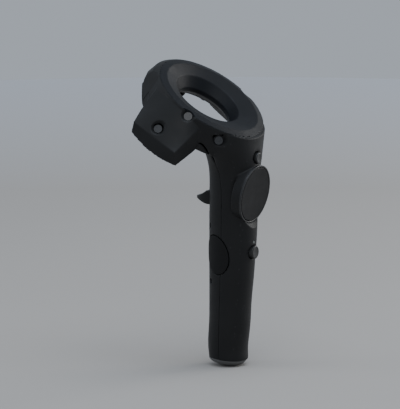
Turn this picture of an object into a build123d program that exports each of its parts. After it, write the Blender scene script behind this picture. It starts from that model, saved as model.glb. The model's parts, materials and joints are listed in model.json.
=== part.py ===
"""One-hand motion controller: a ring-shaped sensor head on a neck, above a tapering handle.

Frame: +Z runs up the handle from butt to head, the thumb side faces -Y and the trigger side faces +Y.
The controller is mirror-symmetric about X = 0. The origin is on the handle's axis, level with the lowest
point of the butt.
"""
from build123d import *
from math import cos, radians, sin, sqrt
import os

# ---------------------------------------------------------------- driving dimensions, mm and degrees
WALL = 2.0                     # housing wall
GAP = 0.35                     # clearance round anything that moves in the housing
SINK = 1.4                     # how far a handle screw's seat lies below the surface round it

HEAD_CENTRE = (0, 12.5, 190.8)  # centre of the crest circle
HEAD_TILT = 34.0               # the ring plane rises towards the trigger side
CREST_R = 36.5                 # highest edge of the ring
RIM_R = 42.1                   # outer edge of the sloping rim band
RIM_DROP = 1.3                 # rim edge below the crest
CREASE_DROP = 17.0             # where the outer wall meets the underside
BELLY_R, BELLY_DROP = 41.0, 24.0
HOLE_TOP_R, HOLE_TOP_DROP, HOLE_TOP_V = 25.3, 3.4, 2.4
THROAT_R, THROAT_DROP, THROAT_LAND, THROAT_V = 20.2, 10.0, 3.0, 1.2
HOLE_LOW_R, HOLE_LOW_DROP, HOLE_LOW_V = 28.0, 19.0, -0.6
LIP_R = 48.0                   # widest line of the front lip
FLAP_REACH = 57.0              # half width over the two side flaps

PAD_CENTRE = (0, -22.0, 124.0)
PAD_TILT = 8.8                 # the pad's upper edge stands further out
PAD_R = 19.3
PUCK_R = 20.9
PUCK_DEPTH = 8.0
BEZEL_DEPTH = 1.3              # the bezel ring's height
PAD_FLOOR, PAD_FLOOR_END = 5.3, 6.9   # depths between which the pad's well has its floor
PAD_WELL_R = 11.0              # opening in that floor
BUTTON_REACH = 0.6             # from a resting button's stem to its switch
MENU_R, MENU_Z, MENU_FACE_Y, MENU_FLANGE_Y = 4.0, 150.2, -25.4, -20.8
SYSTEM_R, SYSTEM_Z, SYSTEM_FACE_Y, SYSTEM_FLANGE_Y = 4.75, 82.4, -22.5, -16.4
MENU_FLANGE_R, SYSTEM_FLANGE_R = 4.6, 6.0
STEM_R, FLANGE_T = 1.6, 0.9
LIGHT_R, LIGHT_Z = 0.9, 89.6

TRIGGER_PIVOT = (3.2, 140.5)   # (y, z)
TRIGGER_HALF = 9.5
TRIGGER_TIP_Y = 24.2
TRIGGER_LOW_Z, TRIGGER_SKIRT_Z = 115.2, 108.2
TRIGGER_BACK_Y = 4.5
TRIGGER_SLOT_Z = (111.0, 142.2)
MAGNET_Z = 113.0

GRIP_Y, GRIP_Z = 1.2, 80.8
GRIP_WIDTH, GRIP_HALF, GRIP_LEAN = 9.8, 14.0, -12.0
GRIP_POST_X = 11.3

BUTT_Z, BUTT_TILT = 4.28, 7.0   # the housing's lower edge, lower on the thumb side
SPIGOT = 4.0
PORT_W, PORT_T, PORT_DEPTH = 8.2, 3.2, 2.9
STRAP_Y = 7.2

FRAME_HALF, FRAME_Y = 8.5, -4.6
BOARD_Y, BOARD_T = -6.4, 1.2   # main board: its trigger-side face and its thickness
SWITCH_RISER, SWITCH_HEIGHT = 2.2, 2.4
MENU_BOARD_Y = -15.6
BRACKET_Y = -9.6

DIMPLE_R, DIMPLE_DEPTH, WINDOW_R, WINDOW_T = 4.6, 1.5, 3.0, 1.0
DIMPLE_RISE = 2.5              # how far above its plane a dimple's cone still cuts
CUP_WALL, CUP_DEPTH = 1.2, 3.2  # the cup that holds a window where the wall is thin
HEAD_JOINT = 15.0              # where the head's screw bosses meet, below the ring plane
HEAD_SCREW_R, HEAD_SCREW_SEAT = 34.0, 19.6
HANDLE_SCREW_X, HANDLE_SCREW_Z = 11.1, (61.0, 101.0)
SCREW_HEAD_R = 1.8

GRIP_STEP = 11.0               # spacing of the sections that the handle is lofted through
# Ellipses that the handle and neck pass through: height, centre y, half width in x, half width in y.
GRIP = [
    (0, 0.1, 14.4, 13.8), (19, -0.5, 14.6, 14.4), (33, -1.6, 14.8, 14.7), (48, -2.1, 15.1, 15.0),
    (62, -2.9, 15.5, 15.8), (73, -3.3, 15.9, 16.2), (91, -4.1, 16.4, 16.9), (104, -4.4, 17.0, 17.1),
    (123, -4.7, 17.9, 17.1), (138, -5.2, 18.6, 17.4), (143, -5.4, 19.4, 18.1), (149, -5.0, 22.0, 19.2),
    (155, -4.6, 25.0, 19.2), (164, -4.2, 28.7, 19.6), (176, -4.2, 30.5, 19.2),
]
# Seam between the two housings, seen from the side: (y, z) from the butt up to the ring's crease.
SEAM = [(0.4, -8), (0.0, 8), (-1.6, 53), (-4.3, 118), (-2.6, 142), (0.0, 152), (1.4, 161.6)]

TILT_COS, TILT_SIN = cos(radians(HEAD_TILT)), sin(radians(HEAD_TILT))
HEAD = Plane(origin=HEAD_CENTRE, x_dir=(1, 0, 0), z_dir=(0, -TILT_SIN, TILT_COS))
PAD_COS, PAD_SIN = cos(radians(PAD_TILT)), sin(radians(PAD_TILT))
PAD = Plane(origin=PAD_CENTRE, x_dir=(1, 0, 0), z_dir=(0, -PAD_COS, -PAD_SIN))
BUTT_COS, BUTT_SIN = cos(radians(BUTT_TILT)), sin(radians(BUTT_TILT))
BUTT = Plane(origin=(0, 0, BUTT_Z), x_dir=(1, 0, 0), z_dir=(0, -BUTT_SIN, BUTT_COS))
PORT = BUTT * Pos(0, -4.0, 0)
TURN_X = Rotation(0, 90, 0)    # stands a shape made along +Z along +X
UP = (Align.CENTER, Align.CENTER, Align.MIN)
DOWN = (Align.CENTER, Align.CENTER, Align.MAX)
FROM_BELOW_Y = (Align.CENTER, Align.MIN, Align.CENTER)
FROM_ABOVE_Y = (Align.CENTER, Align.MAX, Align.CENTER)
nodes = {}


def grip_at(z):
    """Centre y and half widths of the handle's ellipse at height z, eased between the listed ones."""
    below = max(i for i, ring in enumerate(GRIP[:-1]) if ring[0] <= z)
    spans = range(max(below - 1, 0), min(below + 2, len(GRIP) - 1))
    slopes = {i: [(b - a) / (GRIP[i + 1][0] - GRIP[i][0]) for a, b in zip(GRIP[i][1:], GRIP[i + 1][1:])]
              for i in spans}
    low, high = GRIP[below], GRIP[below + 1]
    step = high[0] - low[0]
    t = (z - low[0]) / step
    result = []
    for k in range(3):
        here = slopes[below][k]
        start = (slopes.get(below - 1, slopes[below])[k] + here) / 2
        end = (slopes.get(below + 1, slopes[below])[k] + here) / 2
        a, b = low[k + 1], high[k + 1]
        result.append(a * (1 + 2 * t) * (1 - t) ** 2 + start * step * t * (1 - t) ** 2
                      + b * t * t * (3 - 2 * t) + end * step * t * t * (t - 1))
    return tuple(result)


def grip_solid(inset, low=GRIP[0][0], high=GRIP[-1][0]):
    """Handle and neck between two heights, drawn in by inset all round."""
    count = round((high - low) / GRIP_STEP)
    rings = []
    for i in range(count + 1):
        z = low + (high - low) * i / count
        cy, hx, hy = grip_at(min(z, GRIP[-1][0] - 1e-6))
        rings.append(Pos(0, cy, z) * Ellipse(hx - inset, hy - inset))
    return loft(rings)


def polygon(points):
    return make_face(Polyline(*points, close=True))


def side_prism(points, half_width):
    """A (y, z) outline carried across the controller from -half_width to +half_width in x."""
    return extrude(Plane.YZ * polygon(points), half_width, both=True)


def beyond(point, normal, size=300):
    """A large block on the side of a plane that its normal points to."""
    plane = Plane(origin=point, z_dir=normal)
    return plane * Box(size, size, size, align=UP)


# ---------------------------------------------------------------- head
def ring_solid(inset):
    """The head ring without its hole: crest, rim band, outer wall, belly and sloping underside."""
    return HEAD * revolve(Plane.XZ * polygon([
        (0, -inset), (CREST_R - inset / 2, -inset), (RIM_R - inset, -RIM_DROP - inset),
        (RIM_R - inset, -CREASE_DROP), (BELLY_R - inset, inset - BELLY_DROP),
        (HOLE_LOW_R - inset, inset - HOLE_LOW_DROP), (0, inset - HOLE_LOW_DROP)]), Axis.Z)


def cone_between(low, high):
    """A cone between two circles (radius, drop, v) that lie parallel to the ring plane."""
    faces = [Pos(0, v, -drop) * Circle(radius) for radius, drop, v in (low, high)]
    return HEAD * loft(faces, ruled=True)


def hole_solid(grow):
    """What the bowl, the throat and the lower flare leave open, grown into the walls by grow."""
    crest = (CREST_R + 0.3 * grow, grow, 0)
    above = (CREST_R + 0.3 * grow + 12, grow - 8, 0)
    top = (HOLE_TOP_R + grow, HOLE_TOP_DROP + 0.8 * grow, HOLE_TOP_V)
    land_top = (THROAT_R + grow, THROAT_DROP, THROAT_V)
    land_low = (THROAT_R + grow, THROAT_DROP + THROAT_LAND, THROAT_V)
    low = (HOLE_LOW_R + grow, HOLE_LOW_DROP + 0.3 * grow, HOLE_LOW_V)
    tube = (HOLE_LOW_R + 1.5 + grow, 60, HOLE_LOW_V)
    stack = [above, crest, top, land_top, land_low, low, tube]
    pieces = [cone_between(a, b) for a, b in zip(stack[1:], stack)]
    return pieces[0].fuse(*pieces[1:])


def ring_x(radius, v):
    return sqrt(radius * radius - v * v)


def flap_section(v, inset):
    """The side flap's outline across the controller at distance v up the ring plane, in (x, n)."""
    rim = ring_x(RIM_R - 0.3, v)
    top_n = -2.2 - 0.010 * (v - 3) ** 2
    edge_n = -25.0 - 0.066 * (v + 18)
    low_n = -36.2 + 2.6 * ((v + 1) / 24) ** 2
    low_x = FLAP_REACH + 1.5 - (0.010 if v < 0 else 0.004) * v * v
    points = [(rim, top_n), (FLAP_REACH, edge_n), (low_x, low_n), (rim - 3, -17.5), (rim - 6, -15.5),
              (rim - 6, top_n - 3)]
    face = polygon(points)
    return offset(face, amount=-inset, kind=Kind.INTERSECTION) if inset else face


def side_flap(side, inset):
    """One side flap: a thick plate that leaves the ring's wall at 45 degrees and ends in an upright band."""
    stations = (-27, -16, -5, 6, 17, 30)
    sections = [Plane(origin=(0, v, 0), x_dir=(1, 0, 0), z_dir=(0, -1, 0)) * flap_section(v, inset)
                for v in stations]
    body = loft(sections)
    rear = Vector(0.304, -0.894, 0.330)
    front = Vector(0, 0.928, -0.371)
    body -= beyond(Vector(FLAP_REACH, -18, -25) - rear * inset, rear)
    body -= beyond(Vector(FLAP_REACH, 20.2, -27.5) - front * inset, front)
    if side < 0:
        body = mirror(body, Plane.YZ)
    return HEAD * body


def front_lip(inset):
    """The lip at the front of the ring: a swelling about the ring's axis, turned in below its widest line."""
    swell = revolve(Plane.XZ * polygon([
        (24, -1.6 - inset), (42.6 - inset, -1.6 - inset), (45.8 - inset, -4.5 - inset),
        (LIP_R - inset, -12.0), (LIP_R - 0.7 - inset, -18.0), (41.8 - inset, -27.2),
        (37.4 - inset / 2, inset - 30.8), (30, inset - 20), (24, inset - 20)]), Axis.Z)
    body = swell & Pos(0, 28, 0) * Box(120, 60, 120, align=FROM_BELOW_Y)
    for side in (-1, 1):
        end = Vector(side * 0.84, 0.54, 0)
        body -= beyond(Vector(side * 20.5, 42.5, 0) - end * inset, end)
    return HEAD * body


def rim_trim(drop):
    """Everything of the neck above the rim band's lower edge."""
    return HEAD * (Pos(0, 0, -RIM_DROP - drop) * Cylinder(60, 60, align=UP))


def pad_round(radius, start, end):
    """A round of the trackpad's puck between two depths below the pad's face."""
    return PAD * (Pos(0, 0, -start) * Cylinder(radius, end - start, align=DOWN))


def pad_clearance(grow):
    """What is open above the pad: a shallow cone, because the pad's lower edge lies below the handle."""
    height = 6 + grow
    return PAD * (Pos(0, 0, -0.001 - grow) * Cone(PUCK_R, PUCK_R + height, height, align=UP))


def outer_solid():
    body = grip_solid(0) - rim_trim(0)
    body += pad_round(PUCK_R, 0, PUCK_DEPTH)
    body -= pad_clearance(0)
    body += ring_solid(0)
    for side in (-1, 1):
        body += side_flap(side, 0)
    body += front_lip(0)
    return body - hole_solid(0)


def inner_solid():
    body = grip_solid(WALL) - rim_trim(WALL)
    body += ring_solid(WALL)
    for side in (-1, 1):
        body += side_flap(side, WALL)
    body += front_lip(WALL)
    body -= hole_solid(WALL)
    return body - pad_clearance(WALL) - pad_round(PUCK_R + 0.1, -12, PAD_FLOOR_END)


# ---------------------------------------------------------------- how the housing is divided
def seam_zone():
    """Everything on the thumb side of the seam and above the ring's crease, across the controller."""
    crease = HEAD.from_local_coords(Vector(0, 60, -CREASE_DROP))
    start = HEAD.from_local_coords(Vector(0, -24, -CREASE_DROP))
    turn = (start.Y, start.Z)
    line = Polyline(turn, (crease.Y, crease.Z), (crease.Y, 320), (-90, 320), (-90, SEAM[0][1]), SEAM[0])
    curve = Spline(*SEAM, turn)
    return extrude(Plane.YZ * make_face([*line.edges(), *curve.edges()]), 80, both=True)


def flap_zone():
    """The part of the head outside the ring's own wall, where flaps and lip hang below the crease."""
    block = Pos(0, -30, -60) * Box(180, 110, 55, align=(Align.CENTER, Align.MIN, Align.MIN))
    return HEAD * (block - Pos(0, 0, -70) * Cylinder(RIM_R + 0.1, 80, align=UP))


def bowl_zone():
    """What belongs to the bowl cover: the rim, the bowl and the hole wall down past the throat's land."""
    rim = Pos(0, 0, -RIM_DROP - 0.2) * Cylinder(60, 20, align=UP)
    well = Pos(0, 0, -CREASE_DROP) * Cylinder(RIM_R - WALL - 0.1, CREASE_DROP + 10, align=UP)
    return HEAD * (rim + well)


# ---------------------------------------------------------------- dimples and what sits behind them
def dimple_planes():
    """A plane at each sensor dimple, on the outside of the housing, with its normal pointing outwards."""
    half = [
        ((52.5, 4.0, -20.9), (0.80, 0.0, 0.60)),       # side flap
        ((41.3, -6.2, -3.6), (0.80, -0.1, 0.59)),      # rim edge above the flap
        ((27.8, -31.1, -9.2), (0.80, -0.45, 0.37)),    # where ring and neck meet
        ((17.0, 44.0, -15.0), (0.37, 0.92, 0.0)),     # front lip
        ((31.0, 16.0, -21.6), (0.31, 0.16, -0.94)),    # underside of the ring
    ]
    spots = [((side * p[0], p[1], p[2]), (side * n[0], n[1], n[2])) for p, n in half for side in (-1, 1)]
    spots.append(((0, LIP_R, -13.0), (0, 1, 0)))
    planes = []
    for point, normal in spots:
        origin = HEAD.from_local_coords(Vector(*point))
        tip = HEAD.from_local_coords(Vector(*point) + Vector(*normal))
        planes.append(Plane(origin=origin, z_dir=tip - origin))
    return planes


def dimple_cut(plane):
    """A dimple's flared cone, which also opens what stands above its plane, and the hole for its window."""
    flare = (DIMPLE_R - WINDOW_R) / DIMPLE_DEPTH
    height = DIMPLE_DEPTH + DIMPLE_RISE
    cone = Pos(0, 0, -DIMPLE_DEPTH) * Cone(WINDOW_R, WINDOW_R + flare * height, height, align=UP)
    return plane * (cone + Pos(0, 0, -5) * Cylinder(WINDOW_R, 5, align=UP))


def window_cup(plane):
    """The round wall inside the shell that carries a dimple's window."""
    return plane * (Pos(0, 0, -CUP_DEPTH) * Cylinder(WINDOW_R + CUP_WALL, CUP_DEPTH, align=UP))


def group(shapes):
    return Compound(children=list(shapes))


# ---------------------------------------------------------------- housings
def screw_spots_head():
    return [HEAD * Pos(x, y, 0) for x, y in
            [(HEAD_SCREW_R * sin(radians(a)), HEAD_SCREW_R * cos(radians(a))) for a in (-92, -38, 38, 92)]]


def screw_spots_handle():
    return [(side * HANDLE_SCREW_X, z) for z in HANDLE_SCREW_Z for side in (-1, 1)]


def across_y(x, z, radius, low, high):
    """A round bar along Y at (x, z) from y = low to y = high."""
    return Pos(x, low, z) * Rotation(-90, 0, 0) * Cylinder(radius, high - low, align=UP)


def across_x(y, z, radius, low, high):
    """A round bar along X at (y, z) from x = low to x = high."""
    return Pos(low, y, z) * TURN_X * Cylinder(radius, high - low, align=UP)


def grip_outline(grow):
    """The grip button's oval in (y, z), leaning back at the top."""
    return Pos(GRIP_Y, GRIP_Z) * Rotation(0, 0, GRIP_LEAN) * Ellipse(GRIP_WIDTH + grow, GRIP_HALF + grow)


def housings():
    outer, inner = outer_solid(), inner_solid()
    butt_cut = BUTT * Box(80, 80, 40, align=DOWN)
    shell = outer - inner - butt_cut
    shell -= pad_round(PAD_R + GAP, -5, PAD_FLOOR)
    shell -= pad_round(PUCK_R + 0.001, -1, BEZEL_DEPTH)
    shell -= pad_round(PAD_WELL_R, PAD_FLOOR - 1, PAD_FLOOR_END + 1)
    shell -= across_y(0, MENU_Z, MENU_R + GAP, -40, -18)
    shell -= across_y(0, MENU_Z, MENU_FLANGE_R + GAP, MENU_FLANGE_Y - 0.1, -12)
    shell -= across_y(0, SYSTEM_Z, SYSTEM_R + GAP, -40, -10)
    shell -= across_y(0, LIGHT_Z, LIGHT_R, -40, -10)
    for side in (-1, 1):
        hole = extrude(Plane.YZ * grip_outline(GAP), 30)
        shell -= hole if side > 0 else mirror(hole, Plane.YZ)
    slot_low, slot_high = TRIGGER_SLOT_Z
    shell -= Pos(0, 3, slot_low) * Box(2 * (TRIGGER_HALF + GAP), 20, slot_high - slot_low,
                                       align=(Align.CENTER, Align.MIN, Align.MIN))
    planes = dimple_planes()
    for plane in planes[2:6]:      # the windows in the rim's edge and the neck have little wall behind them
        shell += window_cup(plane) & outer
    for plane in planes:
        shell -= dimple_cut(plane)
    front_space = seam_zone() + flap_zone()
    bowl = (shell & bowl_zone()).solids().sort_by(SortBy.VOLUME)[-1]
    rest = shell - bowl
    *scraps, front = (rest & front_space).solids().sort_by(SortBy.VOLUME)
    rear = (rest - front_space).fuse(*scraps)
    for spot in screw_spots_head():
        bowl += spot * (Pos(0, 0, -HEAD_JOINT + 0.8) * Cylinder(2.6, HEAD_JOINT - 3.0, align=UP))
        rear += spot * (Pos(0, 0, -HEAD_JOINT) * Cylinder(2.6, 5.6, align=DOWN))
        shank = spot * (Pos(0, 0, -7) * Cylinder(1.1, 30, align=DOWN))
        recess = spot * (Pos(0, 0, -HEAD_SCREW_SEAT) * Cylinder(2.1, 20, align=DOWN))
        bowl -= shank
        rear -= shank + recess
    for x, z in screw_spots_handle():
        seam, seat = seam_y(z), screw_seat(x, z)
        rear += across_y(x, z, 2.2, seam, seat + 1.0)
        front += across_y(x, z, 2.2, -18.0, seam) & grip_solid(0.8)
        hole = across_y(x, z, 1.0, seam - 3.0, 30)
        rear -= hole + across_y(x, z, SCREW_HEAD_R + 0.1, seat, 30)
        front -= hole
    for side in (-1, 1):
        front += across_y(side * 9.2, 148.5, 1.8, -21.5, BRACKET_Y)
        front += across_y(side * 9.2, 131.0, 1.8, -16.6, BRACKET_Y)
        front += across_y(side * 5.5, 155.2, 1.4, -22.4, MENU_BOARD_Y)
    nodes["bowl_cover"], nodes["front_housing"], nodes["rear_housing"] = bowl, front, rear


def handle_y(x, z):
    """The trigger-side surface of the handle at (x, z)."""
    cy, hx, hy = grip_at(z)
    return cy + hy * sqrt(1 - (x / hx) ** 2)


def screw_seat(x, z):
    """Where a handle screw's head sits, low enough to stay under the surface on its outer side."""
    return handle_y(abs(x) + SCREW_HEAD_R, z) - SINK


def seam_y(z):
    """The seam's y at height z, straight between the listed points."""
    for (y0, z0), (y1, z1) in zip(SEAM, SEAM[1:]):
        if z0 <= z <= z1:
            return y0 + (y1 - y0) * (z - z0) / (z1 - z0)
    raise ValueError(z)


def butt():
    """The cap that closes the handle, its charging port and its strap pin."""
    cy, hx, hy = grip_at(BUTT_Z)
    steps = [(0, 0), (0.35, 1.3), (1.5, 2.4), (4.0, 3.1)]
    hx, hy = hx - 0.1, hy - 0.1
    rings = [BUTT * (Pos(0, cy, -drop) * Ellipse(hx - inset, hy - inset)) for inset, drop in steps]
    cap = loft(rings, ruled=True)
    spigot = BUTT * (Pos(0, cy, 0) * extrude(Ellipse(hx - WALL - 0.3, hy - WALL - 0.3), SPIGOT))
    hollow = BUTT * (Pos(0, cy, -0.4) * extrude(Ellipse(hx - WALL - 1.6, hy - WALL - 1.6), SPIGOT + 1))
    cap += spigot - hollow
    port = PORT * Box(PORT_W, PORT_T, 30)
    cap -= port
    strap = Pos(0, STRAP_Y, -1) * Box(7.0, 3.6, 7.2, align=UP)
    cap += Pos(0, STRAP_Y, 1.6) * Box(10.0, 6.4, 6.0, align=UP) & (BUTT * Box(60, 60, 30, align=UP))
    cap -= strap
    pin = across_x(STRAP_Y, 3.6, 0.8, -4.6, 4.6)
    nodes["butt_cap"] = cap - pin
    nodes["strap_pin"] = pin
    shell = PORT * (Pos(0, 0, -PORT_DEPTH) * Box(PORT_W, PORT_T, 6.0, align=UP))
    mouth = PORT * (Pos(0, 0, -PORT_DEPTH - 1) * Box(PORT_W - 0.7, PORT_T - 0.7, 6.2, align=UP))
    tongue = PORT * (Pos(0, 0, -PORT_DEPTH + 1.0) * Box(3.6, 0.6, 4.3, align=UP))
    nodes["charging_port"] = shell - mouth + tongue
    nodes["port_board"] = PORT * (Pos(0, 0, -PORT_DEPTH + 6.0) * Box(12, 5, 1.0, align=UP))


# ---------------------------------------------------------------- trackpad and round buttons
def trackpad():
    nodes["trackpad_bezel"] = pad_round(PUCK_R, 0, BEZEL_DEPTH) - pad_round(PAD_R + GAP, -1, BEZEL_DEPTH + 1)
    dish = PAD * (Pos(0, 0, 90 - 0.35) * Sphere(90))
    nodes["trackpad_disc"] = pad_round(PAD_R, 0.0, 1.7) - dish
    nodes["trackpad_board"] = pad_round(PAD_R - 1, 1.7, 2.7)
    nodes["trackpad_carrier"] = pad_round(PAD_R + GAP - 0.05, PAD_FLOOR - 1.2, PAD_FLOOR)
    nodes["trackpad_switch"] = pad_round(3.2, PAD_FLOOR - 2.0, PAD_FLOOR - 1.2)


def round_button(z, radius, face_y, flange_y, flange_r, stem_end):
    """A round push button along Y, with a retaining flange inside the wall and a stem towards its switch."""
    cap = across_y(0, z, radius, face_y, flange_y)
    cap = chamfer(cap.edges().group_by(Axis.Y)[0], 0.6)
    flange = across_y(0, z, flange_r, flange_y, flange_y + FLANGE_T)
    return cap + flange + across_y(0, z, STEM_R, flange_y, stem_end)


def tact_switch(x, y, z):
    """A tact switch whose plunger points to -Y; y is the face of the board that it stands on."""
    body = Pos(x, y, z) * Box(6, 1.6, 6, align=FROM_ABOVE_Y)
    return body + across_y(x, z, 1.5, y - 2.4, y - 1.6)


def buttons():
    board_skin = BOARD_Y - BOARD_T
    menu_stem = MENU_BOARD_Y - SWITCH_HEIGHT - BUTTON_REACH
    system_stem = board_skin - SWITCH_RISER - SWITCH_HEIGHT - BUTTON_REACH
    nodes["menu_button"] = round_button(MENU_Z, MENU_R, MENU_FACE_Y, MENU_FLANGE_Y, MENU_FLANGE_R, menu_stem)
    nodes["system_button"] = round_button(SYSTEM_Z, SYSTEM_R, SYSTEM_FACE_Y, SYSTEM_FLANGE_Y, SYSTEM_FLANGE_R,
                                          system_stem)
    nodes["switch_riser"] = Pos(0, board_skin, SYSTEM_Z) * Box(7, SWITCH_RISER, 7, align=FROM_ABOVE_Y)
    nodes["button_switches"] = group([tact_switch(0, MENU_BOARD_Y, MENU_Z),
                                      tact_switch(0, board_skin - SWITCH_RISER, SYSTEM_Z)])
    nodes["menu_board"] = Pos(0, MENU_BOARD_Y, MENU_Z + 1) * Box(13.4, 1.0, 12.5, align=FROM_BELOW_Y)
    cy, _, hy = grip_at(LIGHT_Z)
    nodes["status_lens"] = across_y(0, LIGHT_Z, LIGHT_R, cy - hy, board_skin - 0.8)


# ---------------------------------------------------------------- trigger
def trigger():
    py, pz = TRIGGER_PIVOT
    low, tip_low = TRIGGER_SKIRT_Z, TRIGGER_LOW_Z
    blade = side_prism([(TRIGGER_BACK_Y, low), (9.9, low), (9.9, tip_low), (40, tip_low), (40, pz - 1),
                        (py + 8, pz + 0.9), (py, pz + 0.9), (TRIGGER_BACK_Y, pz - 3)], TRIGGER_HALF)
    skirt_top = Pos(0, 0, tip_low) * Box(80, 80, 80, align=UP)
    face = blade & grip_solid(0, 100, 154) & skirt_top
    skirt = (blade & grip_solid(WALL + 0.5, 100, 154)) - skirt_top
    tip_y, tip_z = TRIGGER_TIP_Y, tip_low + 4.0
    side = make_face([
        *Polyline((6, 125), (6, tip_low), (12.5, tip_low), (tip_y - 2.2, tip_z - 2.2)).edges(),
        ThreePointArc((tip_y - 2.2, tip_z - 2.2), (tip_y, tip_z), (tip_y - 1.2, tip_z + 2.0)),
        Spline((tip_y - 1.2, tip_z + 2.0), (17.0, tip_low + 7.2), (12.6, tip_low + 9.8)),
        Line((12.6, tip_low + 9.8), (6, 125)),
    ])
    plan = extrude(Pos(0, 8) * Ellipse(TRIGGER_HALF, TRIGGER_TIP_Y - 8), 200)
    tip = extrude(Plane.YZ * side, TRIGGER_HALF, both=True) & plan
    lever = face + skirt + tip + across_x(py, pz, 4.1, 0.4 - TRIGGER_HALF, TRIGGER_HALF - 0.4)
    lever -= Pos(0, -4, pz - 4.5) * Box(6.4, 12, 12, align=(Align.CENTER, Align.MIN, Align.MIN))
    lever -= across_x(py, pz, 1.55, -20, 20)
    magnet = across_y(0, MAGNET_Z, 2.0, TRIGGER_BACK_Y, TRIGGER_BACK_Y + 2.2)
    nodes["trigger"] = lever - magnet
    nodes["trigger_magnet"] = magnet
    nodes["trigger_pin"] = across_x(py, pz, 1.5, -11.4, 11.4)
    base = Pos(0, BRACKET_Y, 139) * Box(23.2, 1.4, 25, align=FROM_BELOW_Y)
    cheeks = []
    for side in (-1, 1):
        x = side * (TRIGGER_HALF + 1.2)
        arm = Pos(x, BRACKET_Y + 1.4, pz) * Box(1.6, py - BRACKET_Y - 1.4, 5.6, align=FROM_BELOW_Y)
        cheeks.append(arm + across_x(py, pz, 2.8, x - 0.8, x + 0.8))
    bracket = base.fuse(*cheeks) - across_x(py, pz, 1.5, -20, 20)
    nodes["trigger_bracket"] = bracket
    coil = Pos(-2.4, py, pz) * TURN_X * sweep(
        Plane(origin=(2.45, 0, 0), z_dir=(0, 1, 0)) * Circle(0.4), path=Helix(1.0, 4.8, 2.45))
    nodes["trigger_spring"] = coil
    nodes["hall_sensor"] = Pos(0, BOARD_Y, MAGNET_Z) * Box(3, 1.0, 3, align=FROM_BELOW_Y)
    switch = Pos(5, BOARD_Y, 118) * Box(5, 3.4, 5, align=FROM_BELOW_Y)
    nodes["trigger_switch"] = switch + across_y(5, 118, 1.2, BOARD_Y + 3.4, BOARD_Y + 4.2)


# ---------------------------------------------------------------- grip buttons
def grips():
    skin = grip_solid(-0.5, 55, 104) - grip_solid(1.5, 55, 104)
    plate = skin & extrude(Plane.YZ * grip_outline(0), 30)
    plate += across_x(0, GRIP_Z, 2.0, GRIP_POST_X, 14.8)
    nodes["right_grip_button"] = plate
    nodes["left_grip_button"] = mirror(plate, Plane.YZ)
    tab = FRAME_HALF
    body = Pos(tab, 0, GRIP_Z) * Box(1.6, 6, 6, align=(Align.MIN, Align.CENTER, Align.CENTER))
    switch = body + across_x(0, GRIP_Z, 1.4, tab + 1.6, tab + 2.0)
    nodes["grip_switches"] = group([switch, mirror(switch, Plane.YZ)])


# ---------------------------------------------------------------- inside the handle
def block(x, y, z):
    """A block between two x, two y and two z values."""
    size = (x[1] - x[0], y[1] - y[0], z[1] - z[0])
    return Pos(x[0], y[0], z[0]) * Box(*size, align=(Align.MIN, Align.MIN, Align.MIN))


def electronics():
    half = FRAME_HALF
    frame = block((-half, half), (FRAME_Y, FRAME_Y + 1.4), (13, 104))
    for side in (-1, 1):
        rail = block((half - 1.2, half), (FRAME_Y + 1.4, 5.0), (72, 87))
        frame += rail if side > 0 else mirror(rail, Plane.YZ)
        for z in (16, 70, 100):
            frame += across_y(side * 6.5, z, 1.6, BOARD_Y, FRAME_Y)
    nodes["handle_frame"] = frame
    cell = block((-8.4, 8.4), (FRAME_Y + 1.4, 5.6), (14, 58))
    nodes["battery"] = fillet(cell.edges().filter_by(Axis.Z), 2.0)
    nodes["haptic_motor"] = block((-6, 6), (FRAME_Y + 1.4, 3.2), (60, 71))
    nodes["main_board"] = block((-half, half), (BOARD_Y - BOARD_T, BOARD_Y), (13, 122))
    skin = BOARD_Y - BOARD_T
    nodes["processor"] = block((-4.5, 4.5), (skin - 1.0, skin), (24, 33))
    nodes["shield_can"] = block((-6, 6), (skin - 1.8, skin), (40, 54))
    nodes["light_emitter"] = block((-1.2, 1.2), (skin - 0.8, skin), (LIGHT_Z - 1.2, LIGHT_Z + 1.2))


def head_electronics():
    board = HEAD * (Pos(0, 0, -HEAD_JOINT) * (Cylinder(39.2, 0.8, align=UP) - Cylinder(31.0, 3)))
    screws = []
    for spot in screw_spots_head():
        board -= spot * Cylinder(1.1, 60)
        head = Pos(0, 0, -HEAD_SCREW_SEAT) * Cylinder(2.0, 1.4, align=DOWN)
        screws.append(spot * (head + Pos(0, 0, -HEAD_SCREW_SEAT) * Cylinder(1.1, 10.5, align=UP)))
    nodes["sensor_board"] = board
    nodes["head_screws"] = group(screws)
    handle = []
    for x, z in screw_spots_handle():
        seat = screw_seat(x, z)
        head = across_y(x, z, SCREW_HEAD_R, seat, seat + 1.3)
        handle.append(across_y(x, z, 1.0, seam_y(z) - 3.0, seat) + head)
    nodes["handle_screws"] = group(handle)
    planes = dimple_planes()
    window = Pos(0, 0, -DIMPLE_DEPTH) * Cylinder(WINDOW_R, WINDOW_T, align=DOWN)
    diode = Pos(0, 0, -DIMPLE_DEPTH - WINDOW_T) * Box(3.4, 3.4, 1.1, align=DOWN)
    nodes["sensor_windows"] = group(plane * window for plane in planes)
    nodes["photodiodes"] = group(plane * diode for plane in planes)


def main():
    housings()
    butt()
    trackpad()
    buttons()
    trigger()
    grips()
    electronics()
    head_electronics()
    os.makedirs("parts", exist_ok=True)
    for name, shape in nodes.items():
        shape.label = name
        export_step(shape, f"parts/{name}.step")
        print(name, len(shape.solids()), round(shape.volume))


main()
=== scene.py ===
"""Looks for the one-hand motion controller: moulded shells, dished pad, turned buttons and screws."""

import json
from math import cos, pi, radians, sin

import bmesh
import bpy
import numpy as np
from mathutils import Matrix, Vector


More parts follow.
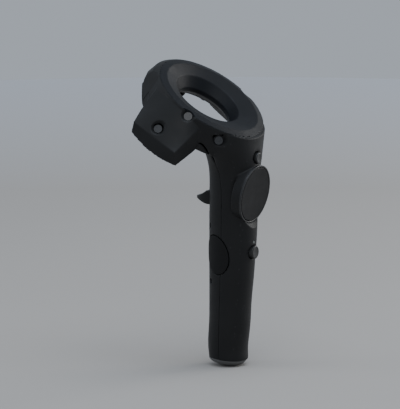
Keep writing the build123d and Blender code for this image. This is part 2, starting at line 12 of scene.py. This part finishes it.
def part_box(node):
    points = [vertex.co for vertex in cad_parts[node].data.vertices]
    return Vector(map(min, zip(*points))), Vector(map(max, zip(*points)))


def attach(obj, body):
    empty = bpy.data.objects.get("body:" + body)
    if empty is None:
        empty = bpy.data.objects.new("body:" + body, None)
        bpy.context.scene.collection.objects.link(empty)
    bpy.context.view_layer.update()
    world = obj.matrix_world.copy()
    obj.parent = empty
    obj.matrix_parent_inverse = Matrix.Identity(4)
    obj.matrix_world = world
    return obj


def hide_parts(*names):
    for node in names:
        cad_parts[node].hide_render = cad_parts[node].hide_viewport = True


MM = 0.001

# ---------------------------------------------------------------- sizes and places, metres and degrees
VOXEL, FINE_VOXEL, GRIP_VOXEL = 0.42 * MM, 0.35 * MM, 0.3 * MM   # grids that moulded pieces are remade on
EDGE_PASSES, TRIGGER_PASSES, GRIP_PASSES = 5, 5, 4    # smoothing that rounds every moulded edge
BLEND_PASSES = 110                          # smoothing where the neck flows into the head
HEAD_CENTRE = Vector((0, 12.5, 190.8)) * MM
HEAD_TILT = radians(34.0)
HEAD_AXIS = Vector((0, -sin(HEAD_TILT), cos(HEAD_TILT)))
HEAD_UP = Vector((0, cos(HEAD_TILT), sin(HEAD_TILT)))
THUMB_SIDE = Vector((0, -1, 0))
# the CAD's edge between housing and butt cap: its height at y = 0 and its rise per y
BUTT_EDGE, BUTT_SLOPE = 4.28 * MM, 0.1228
# how far the finished edge lies above the CAD's, and the height over which the housing's share of it fades
EDGE_RISE, EDGE_RISE_SLOPE, EDGE_FADE = 1.1 * MM, 0.035, 9 * MM
LOW_FLARE, FLARE_HEIGHT = 0.035, 22 * MM    # the CAD's flare at the handle's end, taken out again
DOME_FLAT, DOME_DRAW = 7.0 * MM, 0.55       # the cap is drawn in beyond this radius, by this share
TIP_THINNING, TIP_LENGTH = 0.52, 10 * MM    # of the trigger's blade
TIP_BAND, TIP_LEVEL = 1 * MM, 0.35          # the tip's end, and where in its height the thinning closes on

# where the neck is blended into the head: each pair is where the blend starts and where it is full or over
BLEND_DROP = (5 * MM, 11 * MM)              # below the ring plane
BLEND_HEIGHT = (146 * MM, 153 * MM)         # above the pad
BLEND_ACROSS = (33 * MM, 41 * MM)
BLEND_BEHIND = (2 * MM, 14 * MM)            # up the slope of the ring plane
BLEND_OFF_HOLE = (29 * MM, 33 * MM)
BLEND_LEVELS = 10                           # steps that the blend's strength is rounded to
FLOW_FACTOR, SOFTEN_FACTOR = 0.6, 0.5       # strength of one smoothing pass

PAD_R, PAD_THICK = 19.3 * MM, 1.7 * MM
PAD_EDGE, PAD_DISH, PAD_RINGS = 0.5 * MM, 0.34 * MM, 24
BEZEL_IN, BEZEL_OUT, BEZEL_HIGH, BEZEL_LIP = 19.65 * MM, 20.9 * MM, 1.3 * MM, 0.42 * MM
MENU_R, MENU_FLANGE, MENU_FLANGE_Y = 4.0 * MM, 4.6 * MM, -20.8 * MM
SYSTEM_R, SYSTEM_FLANGE, SYSTEM_FLANGE_Y = 4.75 * MM, 6.0 * MM, -16.4 * MM
FLANGE_T, STEM_R = 0.9 * MM, 1.6 * MM
CAP_ROLL, CAP_DISH, CAP_RINGS = 0.85 * MM, 0.28 * MM, 12
SCREW_R, SCREW_SHANK_R, SCREW_HEAD, SCREW_ROLL = 1.8 * MM, 1.0 * MM, 1.3 * MM, 0.4 * MM
SOCKET_R, SOCKET_DEEP = 0.95 * MM, 0.8 * MM  # the six-lobed drive recess in a screw's head
SOCKET_BEVEL, SOCKET_BEVEL_DEEP = 0.2 * MM, 0.12 * MM
TURN_STEPS = 96                             # facets round a turned piece
LOBES, LOBE_WAVE = 6, 0.13                  # a drive recess's lobes, their depth as a share of its radius
SHARP_ANGLE = radians(38)
WELD = 0.002 * MM                           # corners closer than this are one
TINY = 1e-9                                 # a length that stands for nothing, to divide by

VIEW_AZIMUTH, VIEW_ELEVATION = radians(-61.0), radians(11.0)
PIXELS_HIGH = 409
PIXELS_PER_METRE = 1420.0
VIEW_RIGHT, VIEW_UP = -19.72 * MM, 112.46 * MM   # the picture's middle, from the origin, across and up
VIEW_DISTANCE = 1.6
FLOOR_RADIUS, FLOOR_STEPS = 1.06, 128
FLOOR_FADE = 0.62                           # where the floor starts to fade, as a share of its radius
FLOOR_NEAR, FLOOR_FAR = (0.46, 0.44, 0.42), (0.60, 0.62, 0.66)
LAMP_AIM = Vector((0, 0.01, 0.12))          # the middle of the controller
# name, azimuth, elevation, distance, size, power, colour
LAMPS = [
    ("sky_panel", -20, 78, 1.2, 1.1, 9.0, (0.80, 0.89, 1.0)),
    ("back_panel", 60, 18, 1.2, 0.7, 5.0, (1.0, 0.98, 0.95)),
    ("left_panel", -150, 25, 1.4, 0.8, 3.0, (0.86, 0.92, 1.0)),
    ("front_panel", -61, 30, 1.6, 0.9, 3.0, (1.0, 0.98, 0.96)),
]
ROOM_COLOUR, ROOM_STRENGTH = (0.70, 0.77, 0.86), 0.55

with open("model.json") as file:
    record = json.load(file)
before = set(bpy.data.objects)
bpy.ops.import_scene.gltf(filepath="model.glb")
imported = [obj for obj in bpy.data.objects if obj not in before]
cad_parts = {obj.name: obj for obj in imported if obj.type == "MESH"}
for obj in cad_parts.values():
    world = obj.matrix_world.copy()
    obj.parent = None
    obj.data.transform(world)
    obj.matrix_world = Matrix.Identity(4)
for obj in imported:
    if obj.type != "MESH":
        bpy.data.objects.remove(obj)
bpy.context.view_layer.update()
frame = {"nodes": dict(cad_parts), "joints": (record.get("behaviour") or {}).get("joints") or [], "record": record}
nodes = frame["nodes"]


# ---------------------------------------------------------------- materials
# Noise scales are in waves per metre, bump depths in metres.
FLOW_SCALE, FLOW_DEPTH, FLOW_DARKNESS = 24.0, 0.12 * MM, 0.78   # flow marks of moulded plastic
TOUCH_SCALE, SHEEN_SPREAD = 70.0, 0.07      # patches that handling has polished or dulled; they also break up the painted edge highlight
HIGHLIGHT_POINTINESS = (0.515, 0.60)                   # pointiness where the painted edge highlight starts and is full


def new_material(name):
    mat = bpy.data.materials.new(name)
    mat.use_nodes = True
    tree = mat.node_tree
    return mat, tree, tree.nodes["Principled BSDF"]


def place(tree):
    """The object's own coordinates, in metres."""
    return tree.nodes.new("ShaderNodeTexCoord").outputs["Object"]


def noise(tree, scale, detail=4.0, roughness=0.55):
    node = tree.nodes.new("ShaderNodeTexNoise")
    node.inputs["Scale"].default_value = scale
    node.inputs["Detail"].default_value = detail
    node.inputs["Roughness"].default_value = roughness
    tree.links.new(place(tree), node.inputs["Vector"])
    return node.outputs["Fac"]


def between(tree, factor, low, high, start=0.0, end=1.0):
    """A number that runs from low to high as factor runs from start to end."""
    node = tree.nodes.new("ShaderNodeMapRange")
    node.inputs["From Min"].default_value = start
    node.inputs["From Max"].default_value = end
    node.inputs["To Min"].default_value = low
    node.inputs["To Max"].default_value = high
    tree.links.new(factor, node.inputs["Value"])
    return node.outputs["Result"]


def mixed(tree, factor, first, second):
    """A colour between first and second; each is a colour or another node's output."""
    node = tree.nodes.new("ShaderNodeMix")
    node.data_type = "RGBA"
    tree.links.new(factor, node.inputs["Factor"])
    for socket, value in (("A", first), ("B", second)):
        slot = next(s for s in node.inputs if s.name == socket and s.type == "RGBA")
        if isinstance(value, bpy.types.NodeSocket):
            tree.links.new(value, slot)
        else:
            slot.default_value = (*value, 1.0)
    return next(s for s in node.outputs if s.type == "RGBA")


def bumped(tree, shader, heights):
    """Stacks bumps on a shader: each is (height output, depth in metres, strength)."""
    last = None
    for height, depth, strength in heights:
        bump = tree.nodes.new("ShaderNodeBump")
        bump.inputs["Strength"].default_value = strength
        bump.inputs["Distance"].default_value = depth
        tree.links.new(height, bump.inputs["Height"])
        if last:
            tree.links.new(last, bump.inputs["Normal"])
        last = bump.outputs["Normal"]
    tree.links.new(last, shader.inputs["Normal"])


def moulded_plastic(name, base, edge_highlight, rough, grain=0.00003, grain_scale=2600.0, gloss=0.3, highlight_strength=0.5):
    """Textured plastic: spark-eroded grain, faint flow marks, handling sheen, and a painted highlight that pales
    the edges in patches.
    """
    mat, tree, shader = new_material(name)
    flow = noise(tree, FLOW_SCALE, 5.0)
    grain_height = noise(tree, grain_scale, 2.0, 0.7)
    touch = noise(tree, TOUCH_SCALE, 6.0, 0.65)
    darker = tuple(c * FLOW_DARKNESS for c in base)
    body = mixed(tree, between(tree, flow, 0.0, 1.0, 0.35, 0.65), darker, base)
    # painted highlight: pointed edges get the paler colour, in patches, standing in for light caught on bevels
    edge = tree.nodes.new("ShaderNodeNewGeometry").outputs["Pointiness"]
    highlight_share = between(tree, edge, 0.0, highlight_strength, *HIGHLIGHT_POINTINESS)
    patchy_highlight = tree.nodes.new("ShaderNodeMath")
    patchy_highlight.operation = "MULTIPLY"
    tree.links.new(highlight_share, patchy_highlight.inputs[0])
    tree.links.new(between(tree, touch, 0.3, 1.0, 0.38, 0.62), patchy_highlight.inputs[1])
    tree.links.new(mixed(tree, patchy_highlight.outputs[0], body, edge_highlight), shader.inputs["Base Color"])
    sheen = between(tree, touch, rough - SHEEN_SPREAD, rough + SHEEN_SPREAD, 0.3, 0.7)
    tree.links.new(sheen, shader.inputs["Roughness"])
    shader.inputs["Specular IOR Level"].default_value = gloss
    bumped(tree, shader, [(grain_height, grain, 0.55), (flow, FLOW_DEPTH, 0.18)])
    return mat


def smoked_window(name, base):
    """Infrared-passing plastic: smooth, slightly cloudy, with a soft clear coat."""
    mat, tree, shader = new_material(name)
    cloud = noise(tree, 420.0, 3.0)
    tree.links.new(mixed(tree, cloud, tuple(c * 0.7 for c in base), base), shader.inputs["Base Color"])
    tree.links.new(between(tree, cloud, 0.22, 0.34), shader.inputs["Roughness"])
    shader.inputs["Coat Weight"].default_value = 0.35
    shader.inputs["Coat Roughness"].default_value = 0.12
    bumped(tree, shader, [(noise(tree, 900.0, 2.0), 0.00001, 0.3)])
    return mat


def metal(name, base, rough):
    """Turned or stamped metal with fine scratches."""
    mat, tree, shader = new_material(name)
    scratch = noise(tree, 1800.0, 3.0, 0.7)
    shader.inputs["Metallic"].default_value = 1.0
    tree.links.new(mixed(tree, scratch, tuple(c * 0.7 for c in base), base), shader.inputs["Base Color"])
    tree.links.new(between(tree, scratch, rough - 0.08, rough + 0.12), shader.inputs["Roughness"])
    bumped(tree, shader, [(scratch, 0.00001, 0.4)])
    return mat


def board(name, base):
    """Solder resist over copper: a green skin with fainter traces showing through."""
    mat, tree, shader = new_material(name)
    trace = tree.nodes.new("ShaderNodeTexBrick")
    trace.inputs["Scale"].default_value = 240.0
    trace.inputs["Color1"].default_value = (*base, 1)
    trace.inputs["Color2"].default_value = (*(c * 0.8 for c in base), 1)
    trace.inputs["Mortar"].default_value = (*(c * 1.8 for c in base), 1)
    trace.inputs["Mortar Size"].default_value = 0.03
    tree.links.new(place(tree), trace.inputs["Vector"])
    tree.links.new(trace.outputs["Color"], shader.inputs["Base Color"])
    tree.links.new(between(tree, noise(tree, 300.0), 0.3, 0.5), shader.inputs["Roughness"])
    bumped(tree, shader, [(trace.outputs["Fac"], 0.00003, 0.5)])
    return mat


def floor_finish(name, near, far):
    """Pale matte floor that fades towards its edge."""
    mat, tree, shader = new_material(name)
    gradient = tree.nodes.new("ShaderNodeVectorMath")
    gradient.operation = "LENGTH"
    tree.links.new(place(tree), gradient.inputs[0])
    fade = between(tree, gradient.outputs["Value"], 0.0, 1.0, FLOOR_FADE * FLOOR_RADIUS, FLOOR_RADIUS)
    mottle = mixed(tree, noise(tree, 6.0, 4.0), tuple(c * 0.97 for c in near), near)
    tree.links.new(mixed(tree, fade, mottle, far), shader.inputs["Base Color"])
    tree.links.new(between(tree, noise(tree, 30.0), 0.75, 0.9), shader.inputs["Roughness"])
    shader.inputs["Specular IOR Level"].default_value = 0.15
    return mat


# the second colour of each moulded plastic is the paler colour of its painted edge highlight
SHELL = moulded_plastic("shell_plastic", (0.0085, 0.0087, 0.0092), (0.035, 0.035, 0.037), 0.52)
BOWL = moulded_plastic("bowl_plastic_finish", (0.0042, 0.0054, 0.0080), (0.022, 0.027, 0.036), 0.50,
                       gloss=0.22)
PAD = moulded_plastic("pad_finish", (0.0042, 0.0046, 0.0054), (0.02, 0.02, 0.022), 0.46, grain=0.00001,
                      grain_scale=4200.0, gloss=0.22, highlight_strength=0.2)
BUTTON = moulded_plastic("button_finish", (0.014, 0.014, 0.014), (0.045, 0.045, 0.045), 0.38,
                         grain=0.000008, gloss=0.5, highlight_strength=0.4)
TRIGGER = moulded_plastic("trigger_finish", (0.0050, 0.0050, 0.0052), (0.02, 0.02, 0.02), 0.38,
                          grain=0.00001, gloss=0.28)
GRIP = moulded_plastic("grip_finish", (0.0075, 0.0076, 0.0080), (0.026, 0.026, 0.028), 0.62,
                       grain=0.00006, grain_scale=1500.0, gloss=0.22)
BEZEL = moulded_plastic("bezel_finish", (0.011, 0.0115, 0.0125), (0.05, 0.05, 0.055), 0.30,
                        grain=0.000006, gloss=0.5)
# painted light: the butt cap is coloured far paler than the shell, standing in for light on its underside
BUTT_LIGHTENED = moulded_plastic("butt_painted_light", (0.11, 0.11, 0.11), (0.16, 0.16, 0.16), 0.44, gloss=0.4)
WINDOW = smoked_window("window_finish", (0.030, 0.031, 0.034))
LENS = smoked_window("lens_finish", (0.18, 0.20, 0.19))
STEEL = metal("steel_finish", (0.46, 0.46, 0.47), 0.34)
DARK_STEEL = metal("blackened_steel_finish", (0.07, 0.07, 0.075), 0.42)
FOIL = metal("foil_finish", (0.60, 0.60, 0.58), 0.40)
BOARD = board("board_finish", (0.012, 0.060, 0.030))
CHIP = moulded_plastic("chip_finish", (0.016, 0.016, 0.016), (0.03, 0.03, 0.03), 0.55)
CARRIER = moulded_plastic("carrier_finish", (0.030, 0.030, 0.031), (0.05, 0.05, 0.05), 0.55)

SLOT_FINISH = {
    "housing_plastic": SHELL, "bowl_plastic": BOWL, "pad_plastic": PAD, "button_plastic": BUTTON,
    "butt_plastic": BUTT_LIGHTENED, "window_plastic": WINDOW, "lens_plastic": LENS, "frame_plastic": CARRIER,
    "steel": STEEL, "magnet_metal": STEEL, "board_laminate": BOARD, "chip_plastic": CHIP,
    "battery_foil": FOIL,
}


def finish_cad_nodes():
    """Gives every CAD node the finish of its record slot, in place of the plain colour it came with."""
    for part in frame["record"]["subparts"]:
        data = nodes[part["node"]].data
        data.materials.clear()
        data.materials.append(SLOT_FINISH[part["material_slot"]])


# ---------------------------------------------------------------- moulded pieces
def places(mesh):
    """The mesh's corners as an array of (x, y, z)."""
    where = np.zeros(len(mesh.vertices) * 3)
    mesh.vertices.foreach_get("co", where)
    return where.reshape(-1, 3)


def applied(obj):
    """Works the object's modifiers into its mesh."""
    evaluated = obj.evaluated_get(bpy.context.evaluated_depsgraph_get())
    shaped = bpy.data.meshes.new_from_object(evaluated)
    obj.modifiers.clear()
    old, obj.data = obj.data, shaped
    bpy.data.meshes.remove(old)


def smooth_shading(obj):
    obj.data.polygons.foreach_set("use_smooth", np.ones(len(obj.data.polygons), bool))


def moulded(name, node, finish, body, voxel=VOXEL, passes=EDGE_PASSES, blend=None, reshape=None):
    """A shell remade from its CAD node with every edge rounded as moulding rounds it.

    blend takes the vertices' places and gives each a share, from 0 to 1, of the heavy smoothing that turns
    a corner into a flowing curve. reshape takes the vertices' places and gives new ones.
    """
    mesh = nodes[node].data.copy()
    obj = bpy.data.objects.new(name, mesh)
    bpy.context.scene.collection.objects.link(obj)
    remesh = obj.modifiers.new("grid", "REMESH")
    remesh.mode = "VOXEL"
    remesh.voxel_size = voxel
    applied(obj)
    where = places(obj.data)
    if reshape:
        where = reshape(where)
        obj.data.vertices.foreach_set("co", where.reshape(-1))
    if blend:
        group = obj.vertex_groups.new(name="blend")
        shares = blend(where)
        levels = np.round(shares * BLEND_LEVELS).astype(int)
        for level in range(1, BLEND_LEVELS + 1):
            chosen = np.nonzero(levels == level)[0]
            group.add([int(i) for i in chosen], level / BLEND_LEVELS, "REPLACE")
        flow = obj.modifiers.new("flow", "SMOOTH")
        flow.factor, flow.iterations, flow.vertex_group = FLOW_FACTOR, BLEND_PASSES, "blend"
    soften = obj.modifiers.new("soften", "SMOOTH")
    soften.factor, soften.iterations = SOFTEN_FACTOR, passes
    applied(obj)
    obj.data.materials.clear()
    obj.data.materials.append(finish)
    smooth_shading(obj)
    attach(obj, body)
    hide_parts(node)


def eased(value, start, end):
    """0 below start, 1 above end, and smooth between."""
    t = np.clip((value - start) / (end - start), 0, 1)
    return t * t * (3 - 2 * t)


def neck_blend(where):
    """Strong on the outside where neck and head meet, nothing at the pad, the hole and the flap edges."""
    rise = (where - np.array(HEAD_CENTRE)) @ np.array(HEAD_AXIS)
    along = (where - np.array(HEAD_CENTRE)) @ np.array(HEAD_UP)
    across = np.abs(where[:, 0])
    radius = np.hypot(along, across)
    below_rim = eased(-rise, *BLEND_DROP)
    above_pad = eased(where[:, 2], *BLEND_HEIGHT)
    near_neck = 1 - eased(across, *BLEND_ACROSS)
    behind = 1 - eased(along, *BLEND_BEHIND)
    off_hole = eased(radius, *BLEND_OFF_HOLE)
    return below_rim * above_pad * near_neck * behind * off_hole


def edge_height(where):
    """Height of the CAD's slanted edge between housing and cap, and the finished edge's rise above it."""
    y = where[:, 1]
    built = BUTT_EDGE + BUTT_SLOPE * y
    return built, EDGE_RISE - EDGE_RISE_SLOPE * y


def straightened(where):
    """Takes the slight flare out of the handle's lower end."""
    keep = 1 - LOW_FLARE * (1 - eased(where[:, 2], 0, FLARE_HEIGHT))
    return where * np.column_stack([keep, keep, np.ones(len(where))])


def housing_end(where):
    """Lifts the housing's lower edge to the finished height."""
    built, rise = edge_height(where)
    fade = 1 - eased(where[:, 2] - built, 0, EDGE_FADE)
    return straightened(where) + np.outer(rise * fade, (0, 0, 1))


def cap_end(where):
    """Lifts the cap's edge with the housing's, and draws its lower part in to a dome."""
    built, rise = edge_height(where)
    share = np.clip(where[:, 2] / built, 0, 1)
    radius = np.hypot(where[:, 0], where[:, 1])
    drawn = radius - DOME_DRAW * np.clip(radius - DOME_FLAT, 0, None) * (1 - share) ** 2
    shrink = drawn / np.maximum(radius, TINY)
    shaped = straightened(where) * np.column_stack([shrink, shrink, np.ones(len(where))])
    return shaped + np.outer(rise * share, (0, 0, 1))


def slim_tip(where):
    """Thins the trigger's blade towards its tip."""
    y, z = where[:, 1], where[:, 2]
    tip = z[y > y.max() - TIP_BAND]
    level = (1 - TIP_LEVEL) * tip.min() + TIP_LEVEL * tip.max()
    share = TIP_THINNING * eased(y, y.max() - TIP_LENGTH, y.max())
    return np.column_stack([where[:, 0], y, level + (z - level) * (1 - share)])


# ---------------------------------------------------------------- turned pieces
def round_corner(centre_r, centre_h, radius, start, end, steps=6):
    """Points (r, h) of an arc, with angles in degrees from the +r direction."""
    angles = [radians(start + (end - start) * i / steps) for i in range(steps + 1)]
    return [(centre_r + radius * cos(a), centre_h + radius * sin(a)) for a in angles]


def turned(name, profile, origin, axis, finish, body, replaced=(), lobed=()):
    """A solid of revolution: profile is (r, h) from the axis outwards and back, h along axis from origin.

    The points of the profile that are in lobed make six-lobed rings, for a drive recess.
    """
    work = bmesh.new()
    rings = []
    for r, h in profile:
        if r < TINY:
            rings.append([work.verts.new((0, 0, h))])
        else:
            ring = []
            for i in range(TURN_STEPS):
                angle = 2 * pi * i / TURN_STEPS
                reach = r * (1 + LOBE_WAVE * cos(LOBES * angle)) if (r, h) in lobed else r
                ring.append(work.verts.new((reach * cos(angle), reach * sin(angle), h)))
            rings.append(ring)
    closed = len(rings[0]) > 1
    pairs = list(zip(rings, rings[1:])) + ([(rings[-1], rings[0])] if closed else [])
    for low, high in pairs:
        for i in range(TURN_STEPS):
            j = (i + 1) % TURN_STEPS
            corners = [low[i % len(low)], low[j % len(low)], high[j % len(high)], high[i % len(high)]]
            work.faces.new(list(dict.fromkeys(corners)))
    bmesh.ops.recalc_face_normals(work, faces=work.faces)
    mesh = bpy.data.meshes.new(name)
    work.to_mesh(mesh)
    work.free()
    obj = bpy.data.objects.new(name, mesh)
    bpy.context.scene.collection.objects.link(obj)
    turn = Vector((0, 0, 1)).rotation_difference(axis).to_matrix().to_4x4()
    mesh.transform(Matrix.Translation(origin) @ turn)
    mesh.materials.append(finish)
    smooth_shading(obj)
    mesh.set_sharp_from_angle(angle=SHARP_ANGLE)
    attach(obj, body)
    if replaced:
        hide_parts(*replaced)


def middle(node):
    low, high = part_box(node)
    return (low + high) / 2


def joint_axis(name):
    return Vector(next(j for j in frame["joints"] if j["name"] == name)["axis"]).normalized()


def trackpad():
    """The dished touch surface with its rolled edge, and the bezel ring round it."""
    out = -joint_axis("trackpad_press")
    seat = middle("trackpad_disc") - out * PAD_THICK / 2
    face = [(0, PAD_THICK - PAD_DISH)]
    for i in range(1, PAD_RINGS + 1):
        r = (PAD_R - PAD_EDGE) * i / PAD_RINGS
        face.append((r, PAD_THICK - PAD_DISH * (1 - (r / PAD_R) ** 2)))
    rim = round_corner(PAD_R - PAD_EDGE, PAD_THICK - PAD_EDGE, PAD_EDGE, 80, 0)
    foot = [(PAD_R, 0.1 * MM), (PAD_R - 0.1 * MM, 0), (0, 0)]
    turned("trackpad_surface", [*face, *rim, *foot], seat, out, PAD, "trackpad",
           ["trackpad_disc"])
    foot_point = middle("trackpad_bezel") - out * BEZEL_HIGH / 2
    top = BEZEL_HIGH - BEZEL_LIP
    profile = [(BEZEL_IN, 0), *round_corner(BEZEL_IN + BEZEL_LIP, top, BEZEL_LIP, 180, 90),
               *round_corner(BEZEL_OUT - BEZEL_LIP, top, BEZEL_LIP, 90, 0), (BEZEL_OUT, 0)]
    turned("trackpad_bezel_ring", profile, foot_point, out, BEZEL, "body",
           ["trackpad_bezel"])


def push_button(name, node, radius, flange_r, flange_y, body):
    """A round cap with a rolled rim and a shallow finger dish, on its flange and stem."""
    low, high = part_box(node)
    centre = middle(node)
    length = flange_y - low.y
    flat = radius - CAP_ROLL
    face = [(0, length - CAP_DISH)]
    for i in range(1, CAP_RINGS + 1):
        r = flat * i / CAP_RINGS
        face.append((r, length - CAP_DISH * (1 - (r / flat) ** 2)))
    stem_end = flange_y - high.y
    stem = [(STEM_R, -FLANGE_T), (STEM_R, stem_end), (0, stem_end)]
    profile = [*face, *round_corner(flat, length - CAP_ROLL, CAP_ROLL, 80, 0), (radius, 0),
               (flange_r, 0), (flange_r, -FLANGE_T), *stem]
    origin = Vector((centre.x, flange_y, centre.z))
    turned(name, profile, origin, THUMB_SIDE, BUTTON, body, [node])


def islands(node):
    """The separate solids of a CAD node, each as an array of its corners."""
    mesh = nodes[node].data
    where = places(mesh)
    keys, owner = np.unique(np.round(where / WELD).astype(int), axis=0, return_inverse=True)
    owner = owner.reshape(-1)
    root = np.arange(len(keys))
    edges = np.array([list(edge.vertices) for edge in mesh.edges])
    edges = owner[edges]
    while True:
        lower = np.minimum(root[edges[:, 0]], root[edges[:, 1]])
        spread = root.copy()
        np.minimum.at(spread, edges[:, 0], lower)
        np.minimum.at(spread, edges[:, 1], lower)
        if (spread == root).all():
            break
        root = spread
    return [where[root[owner] == r] for r in np.unique(root)]


def screws(node, axis):
    """Pan-head screws with a six-lobed recess, one on each of the node's solids, heads towards axis."""
    for number, corners in enumerate(islands(node), 1):
        along = corners @ np.array(axis)
        head, end = along.max(), along.min()
        across = corners - np.outer(along, axis)
        centre = Vector((across.max(axis=0) + across.min(axis=0)) / 2)
        origin = centre + axis * (head - centre.dot(axis))
        floor_ring, mouth_ring = (SOCKET_R, -SOCKET_DEEP), (SOCKET_R, -SOCKET_BEVEL_DEEP)
        edge = round_corner(SCREW_R - SCREW_ROLL, -SCREW_ROLL, SCREW_ROLL, 90, 0)
        socket = [(0, -SOCKET_DEEP), floor_ring, mouth_ring, (SOCKET_R + SOCKET_BEVEL, 0)]
        shank = [(SCREW_SHANK_R, -SCREW_HEAD), (SCREW_SHANK_R, end - head), (0, end - head)]
        profile = [*socket, *edge, (SCREW_R, -SCREW_HEAD), *shank]
        turned(f"{node}_{number}", profile, origin, axis, DARK_STEEL, "body",
               [node] if number == 1 else [], [floor_ring, mouth_ring])


def moulded_pieces():
    for name, node in (("thumb_side_shell", "front_housing"), ("trigger_side_shell", "rear_housing")):
        moulded(name, node, SHELL, "body", blend=neck_blend, reshape=housing_end)
    moulded("bowl_shell", "bowl_cover", BOWL, "body")
    moulded("butt_shell", "butt_cap", BUTT_LIGHTENED, "body", voxel=FINE_VOXEL, reshape=cap_end)
    moulded("trigger_lever_blade", "trigger", TRIGGER, "trigger_lever",
            voxel=FINE_VOXEL, passes=TRIGGER_PASSES, reshape=slim_tip)
    for side in ("left", "right"):
        moulded(f"{side}_squeeze_plate", f"{side}_grip_button", GRIP, f"{side}_grip",
                voxel=GRIP_VOXEL, passes=GRIP_PASSES)


# ---------------------------------------------------------------- room, light and camera
def floor():
    work = bmesh.new()
    bmesh.ops.create_circle(work, cap_ends=True, cap_tris=False, segments=FLOOR_STEPS, radius=FLOOR_RADIUS)
    mesh = bpy.data.meshes.new("floor")
    work.to_mesh(mesh)
    work.free()
    obj = bpy.data.objects.new("floor", mesh)
    bpy.context.scene.collection.objects.link(obj)
    mesh.materials.append(floor_finish("floor_finish", FLOOR_NEAR, FLOOR_FAR))


def lamp(name, azimuth, elevation, distance, size, power, colour):
    """A soft square lamp that looks at the middle of the controller."""
    a, e = radians(azimuth), radians(elevation)
    away = Vector((cos(e) * sin(a), -cos(e) * cos(a), sin(e)))
    data = bpy.data.lights.new(name, "AREA")
    data.shape, data.size, data.energy, data.color = "SQUARE", size, power, colour
    obj = bpy.data.objects.new(name, data)
    bpy.context.scene.collection.objects.link(obj)
    obj.location = LAMP_AIM + away * distance
    obj.rotation_euler = away.to_track_quat("Z", "Y").to_euler()


def light():
    for panel in LAMPS:
        lamp(*panel)
    world = bpy.data.worlds.new("studio")
    world.use_nodes = True
    background = world.node_tree.nodes["Background"]
    background.inputs["Color"].default_value = (*ROOM_COLOUR, 1.0)
    background.inputs["Strength"].default_value = ROOM_STRENGTH
    bpy.context.scene.world = world


def camera():
    level = cos(VIEW_ELEVATION)
    across = Vector((cos(VIEW_AZIMUTH), sin(VIEW_AZIMUTH), 0))
    back = Vector((sin(VIEW_AZIMUTH) * level, -cos(VIEW_AZIMUTH) * level, sin(VIEW_ELEVATION)))
    up = back.cross(across)
    data = bpy.data.cameras.new("camera")
    data.type = "ORTHO"
    data.ortho_scale = PIXELS_HIGH / PIXELS_PER_METRE
    obj = bpy.data.objects.new("camera", data)
    bpy.context.scene.collection.objects.link(obj)
    turn = Matrix((across, up, back)).transposed().to_4x4()
    stand = across * VIEW_RIGHT + up * VIEW_UP + back * VIEW_DISTANCE
    obj.matrix_world = Matrix.Translation(stand) @ turn
    bpy.context.scene.camera = obj


finish_cad_nodes()
moulded_pieces()
trackpad()
push_button("menu_cap", "menu_button", MENU_R, MENU_FLANGE, MENU_FLANGE_Y, "menu")
push_button("system_cap", "system_button", SYSTEM_R, SYSTEM_FLANGE, SYSTEM_FLANGE_Y, "system")
screws("handle_screws", -THUMB_SIDE)
screws("head_screws", -HEAD_AXIS)
floor()
light()
camera()
